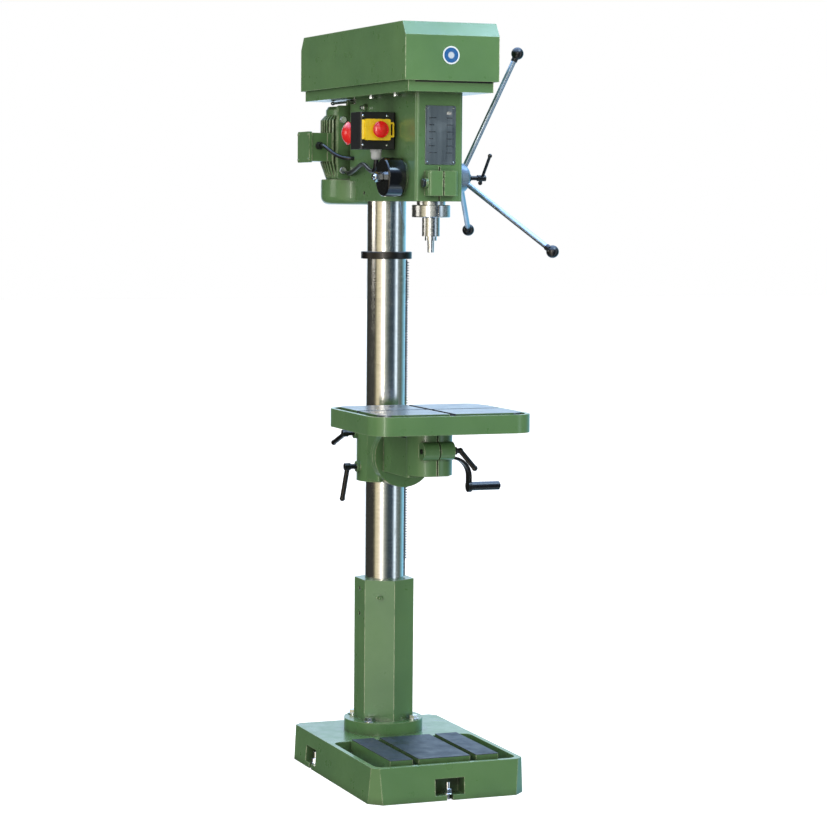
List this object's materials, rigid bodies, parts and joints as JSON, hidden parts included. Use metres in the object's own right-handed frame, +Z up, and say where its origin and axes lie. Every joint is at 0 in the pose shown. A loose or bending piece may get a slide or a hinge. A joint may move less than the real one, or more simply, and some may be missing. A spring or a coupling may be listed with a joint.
{
  "type": "drill press",
  "caption": "Floor-standing drill press: slotted base, steel column with rack, tilting crank-lift table, belt-drive head with quill feed, hinged belt hood and switch box.",
  "frame": {"origin": "on the floor, under the axis of the column", "axes": "+Z up along the column, -Y towards the operator, +X to the operator's right"},
  "size_m": [0.482, 0.8036, 1.7375],
  "materials": {
    "green_paint": "glossy cast enamel",
    "polished_column": "ground and polished",
    "machined_steel": "machined",
    "dark_fasteners": "blackened",
    "zinc_fasteners": "bright zinc",
    "black_oxide": "black oxide",
    "brushed_plate": "brushed",
    "gloss_black": "gloss",
    "black_plastic": "moulded",
    "grey_plastic": "moulded",
    "black_rubber": "matt",
    "cast_aluminium": "turned",
    "blue_label": "printed film",
    "yellow_plastic": "moulded",
    "red_plastic": "moulded",
    "green_plastic": "moulded",
    "satin_steel": "satin"
  },
  "bodies": {
    "root": {"base_casting": "green_paint", "hold_down_bolts": "zinc_fasteners", "column_foot": "green_paint", "foot_bolts": "zinc_fasteners", "clamp_screws": "dark_fasteners", "column_tube": "polished_column", "rack_collar": "black_oxide", "head_casting": "green_paint", "head_fixings": "zinc_fasteners", "data_plate": "brushed_plate", "belt_tray": "green_paint", "hood_hinge": "dark_fasteners", "spring_cap": "gloss_black", "return_spring": "dark_fasteners", "switch_box": "black_plastic", "estop_box": "black_plastic", "switch_gland": "grey_plastic", "motor_lead": "black_rubber", "switch_lead": "black_rubber", "pulley_bearings": "zinc_fasteners", "drive_belt": "black_rubber"},
    "rack": {"column_rack": "machined_steel"},
    "bracket": {"table_bracket": "green_paint"},
    "lift_gear": {"lift_gear": "machined_steel"},
    "crank": {"crank_shaft": "machined_steel", "crank_arm": "black_oxide"},
    "grip": {"crank_grip": "gloss_black"},
    "arm": {"table_arm": "green_paint", "tilt_bolt": "dark_fasteners"},
    "table": {"work_table": "green_paint"},
    "table_lever": {"table_lock_lever": "black_oxide"},
    "upper_lever": {"upper_clamp_lever": "black_oxide"},
    "lower_lever": {"lower_clamp_lever": "black_oxide"},
    "quill": {"quill": "machined_steel", "quill_ring": "machined_steel", "quill_bearings": "zinc_fasteners"},
    "spindle": {"spindle": "machined_steel", "taper_arbor": "zinc_fasteners"},
    "drive_pulley": {"spindle_pulley": "cast_aluminium"},
    "motor": {"motor_mount": "green_paint", "motor_fixings": "zinc_fasteners", "motor_housing": "green_paint", "fan_cowl": "green_paint", "terminal_box": "green_paint", "terminal_lid": "green_paint", "terminal_gland": "black_plastic"},
    "rotor": {"motor_rotor": "machined_steel", "motor_pulley": "cast_aluminium", "motor_fan": "black_plastic"},
    "hood": {"hood": "green_paint", "hood_label": "blue_label"},
    "flap": {"switch_flap": "yellow_plastic"},
    "stop": {"stop_button": "red_plastic"},
    "start": {"start_button": "green_plastic"},
    "estop": {"estop_button": "red_plastic"},
    "feed": {"feed_shaft": "machined_steel", "feed_hub": "satin_steel", "feed_arms": "satin_steel", "feed_knobs": "gloss_black"},
    "depth_lock": {"depth_lock_bar": "black_oxide"}
  },
  "joints": [
    {"name": "rack_swing", "type": "hinge", "parent": "root", "child": "rack", "pos_m": [0, 0, 0.45], "axis": [0, 0, 1], "range_deg": [-180, 180]},
    {"name": "table_lift", "type": "slide", "parent": "rack", "child": "bracket", "axis": [0, 0, 1], "range_m": [-0.22, 0.33]},
    {"name": "lift_gear_turn", "type": "hinge", "parent": "bracket", "child": "lift_gear", "pos_m": [0.0644, 0, 0.762], "axis": [0, 1, 0], "range_deg": [-1580, 1055]},
    {"name": "crank_turn", "type": "hinge", "parent": "bracket", "child": "crank", "pos_m": [0.1, -0.024, 0.733], "axis": [1, 0, 0], "range_deg": [-6310, 9460]},
    {"name": "grip_spin", "type": "hinge", "parent": "crank", "child": "grip", "pos_m": [0.25, -0.024, 0.663], "axis": [1, 0, 0], "continuous": true},
    {"name": "table_tilt", "type": "hinge", "parent": "bracket", "child": "arm", "pos_m": [0, -0.11, 0.751], "axis": [0, 1, 0], "range_deg": [-45, 45]},
    {"name": "table_swivel", "type": "hinge", "parent": "arm", "child": "table", "pos_m": [0, -0.283, 0.82], "axis": [0, 0, 1], "range_deg": [-180, 180]},
    {"name": "table_lever_turn", "type": "hinge", "parent": "arm", "child": "table_lever", "pos_m": [0.05, -0.339, 0.781], "axis": [1, 0, 0], "range_deg": [-60, 60]},
    {"name": "upper_lever_turn", "type": "hinge", "parent": "bracket", "child": "upper_lever", "pos_m": [-0.07, 0.015, 0.795], "axis": [1, 0, 0], "range_deg": [-60, 30]},
    {"name": "lower_lever_turn", "type": "hinge", "parent": "bracket", "child": "lower_lever", "pos_m": [-0.07, -0.002, 0.717], "axis": [1, 0, 0], "range_deg": [-60, 60]},
    {"name": "quill_feed", "type": "slide", "parent": "root", "child": "quill", "axis": [0, 0, -1], "range_m": [0, 0.11], "stiffness_N_per_m": 400, "springref_m": -0.3},
    {"name": "feed_turn", "type": "hinge", "parent": "root", "child": "feed", "pos_m": [0, -0.243, 1.397], "axis": [1, 0, 0], "range_deg": [0, 486]},
    {"name": "depth_lock_turn", "type": "hinge", "parent": "feed", "child": "depth_lock", "pos_m": [0.11, -0.243, 1.397], "axis": [1, 0, 0], "range_deg": [-90, 90]},
    {"name": "motor_spin", "type": "hinge", "parent": "motor", "child": "rotor", "pos_m": [0, 0.218, 1.48], "axis": [0, 0, 1], "continuous": true},
    {"name": "pulley_spin", "type": "hinge", "parent": "root", "child": "drive_pulley", "pos_m": [0, -0.283, 1.6], "axis": [0, 0, 1], "continuous": true},
    {"name": "spindle_spin", "type": "hinge", "parent": "quill", "child": "spindle", "pos_m": [0, -0.283, 1.4], "axis": [0, 0, 1], "continuous": true},
    {"name": "motor_tension", "type": "slide", "parent": "root", "child": "motor", "axis": [0, -1, 0], "range_m": [0, 0.012]},
    {"name": "hood_open", "type": "hinge", "parent": "root", "child": "hood", "pos_m": [0, 0.308, 1.602], "axis": [-1, 0, 0], "range_deg": [0, 80]},
    {"name": "flap_open", "type": "hinge", "parent": "root", "child": "flap", "pos_m": [-0.137, -0.209, 1.504], "axis": [0, 0, -1], "range_deg": [0, 110]},
    {"name": "stop_press", "type": "slide", "parent": "flap", "child": "stop", "axis": [0, 1, 0], "range_m": [0, 0.004], "stiffness_N_per_m": 800, "springref_m": -0.002},
    {"name": "start_press", "type": "slide", "parent": "root", "child": "start", "axis": [0, 1, 0], "range_m": [0, 0.003], "stiffness_N_per_m": 600, "springref_m": -0.002},
    {"name": "estop_press", "type": "slide", "parent": "root", "child": "estop", "axis": [1, 0, 0], "range_m": [0, 0.005], "stiffness_N_per_m": 900, "springref_m": -0.002}
  ],
  "couplings": [
    {"joint": "lift_gear_turn", "follows": "table_lift", "rad_per_m": -83.333},
    {"joint": "crank_turn", "follows": "table_lift", "rad_per_m": 500},
    {"joint": "feed_turn", "follows": "quill_feed", "rad_per_m": 76.923},
    {"joint": "pulley_spin", "follows": "motor_spin", "ratio": 0.73913},
    {"joint": "spindle_spin", "follows": "motor_spin", "ratio": 0.73913}
  ]
}
